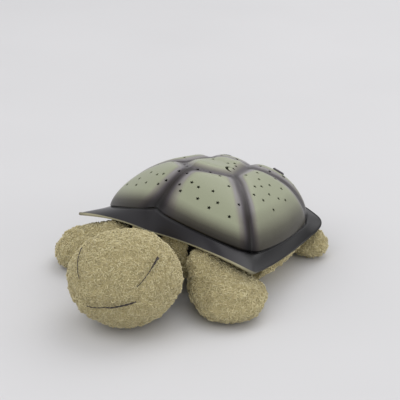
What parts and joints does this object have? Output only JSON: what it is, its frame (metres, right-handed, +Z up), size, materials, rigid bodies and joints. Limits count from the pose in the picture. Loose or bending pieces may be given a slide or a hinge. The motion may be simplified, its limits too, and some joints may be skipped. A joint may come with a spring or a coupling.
{
  "type": "star night light projector",
  "caption": "Plush turtle night light with a hard painted dome shell pierced with stars and a crescent moon.",
  "frame": {"origin": "on the floor below the middle of the whole turtle, on the flat cloth underside", "axes": "+Z up, -Y towards the head, +X towards the turtle's left flippers"},
  "size_m": [0.2652, 0.36, 0.1232],
  "materials": {
    "painted_shell": "satin",
    "tray_plastic": "matte",
    "white_plastic": "matte",
    "board": "satin",
    "led_blue": "clear",
    "led_green": "clear",
    "led_amber": "clear",
    "black_plastic": "matte",
    "board_part": "satin",
    "button_rubber": "matte",
    "cell_jacket": "gloss",
    "nickel_steel": "satin",
    "wire": "satin",
    "plush": "curly fleece",
    "belly_cloth": "flat weave",
    "binding_tape": "flat weave",
    "thread": "matte"
  },
  "bodies": {
    "base": {"shell": "painted_shell", "base_tray": "tray_plastic", "lamp_post": "white_plastic", "led_board": "board", "led_blue": "led_blue", "led_green": "led_green", "led_amber": "led_amber", "main_board": "board", "control_chip": "black_plastic", "board_parts": "board_part", "switch_boards": "board", "tact_switches": "black_plastic", "battery_box": "white_plastic", "cell_1": "cell_jacket", "cell_2": "cell_jacket", "cell_3": "cell_jacket", "contact_springs": "nickel_steel", "contact_plates": "nickel_steel", "shell_screws": "nickel_steel", "board_screws": "nickel_steel", "lamp_wires": "wire", "battery_wires": "wire", "switch_wires": "wire", "body": "plush", "belly_panel": "belly_cloth", "belly_binding": "binding_tape", "neck": "plush", "tail": "plush"},
    "power_button": {"power_button": "button_rubber"},
    "colour_button": {"colour_button": "button_rubber"},
    "battery_door": {"battery_door": "white_plastic"},
    "door_screw": {"door_screw": "nickel_steel"},
    "head": {"head": "plush", "eye_left": "thread", "eye_right": "thread", "mouth": "thread"},
    "flipper_front_left": {"flipper_front_left": "plush"},
    "flipper_front_right": {"flipper_front_right": "plush"},
    "flipper_rear_left": {"flipper_rear_left": "plush"},
    "flipper_rear_right": {"flipper_rear_right": "plush"}
  },
  "joints": [
    {"name": "power_press", "type": "slide", "parent": "base", "child": "power_button", "axis": [-0.2279, -0.5388, -0.811], "range_m": [0, 0.0012], "stiffness_N_per_m": 800, "springref_m": -0.0005},
    {"name": "colour_press", "type": "slide", "parent": "base", "child": "colour_button", "axis": [0.2279, -0.5388, -0.811], "range_m": [0, 0.0012], "stiffness_N_per_m": 800, "springref_m": -0.0005},
    {"name": "door_hinge", "type": "hinge", "parent": "base", "child": "battery_door", "pos_m": [0, 0.09755, 0.0144], "axis": [1, 0, 0], "range_deg": [0, 95]},
    {"name": "screw_turn", "type": "hinge", "parent": "battery_door", "child": "door_screw", "pos_m": [0, 0.03455, 0.0152], "axis": [0, 0, 1], "range_deg": [0, 720]},
    {"name": "head_turn", "type": "hinge", "parent": "base", "child": "head", "pos_m": [0, -0.0625, 0.04], "axis": [0, 0, 1], "range_deg": [-51, 9]},
    {"name": "flipper_front_left_swing", "type": "hinge", "parent": "base", "child": "flipper_front_left", "pos_m": [0.055, -0.0115, 0.012], "axis": [0, 0, 1], "range_deg": [-6, 12]},
    {"name": "flipper_front_right_swing", "type": "hinge", "parent": "base", "child": "flipper_front_right", "pos_m": [-0.055, -0.0115, 0.012], "axis": [0, 0, 1], "range_deg": [-12, 6]},
    {"name": "flipper_rear_left_swing", "type": "hinge", "parent": "base", "child": "flipper_rear_left", "pos_m": [0.052, 0.1145, 0.012], "axis": [0, 0, 1], "range_deg": [-12, 12]},
    {"name": "flipper_rear_right_swing", "type": "hinge", "parent": "base", "child": "flipper_rear_right", "pos_m": [-0.052, 0.1145, 0.012], "axis": [0, 0, 1], "range_deg": [-12, 12]}
  ]
}
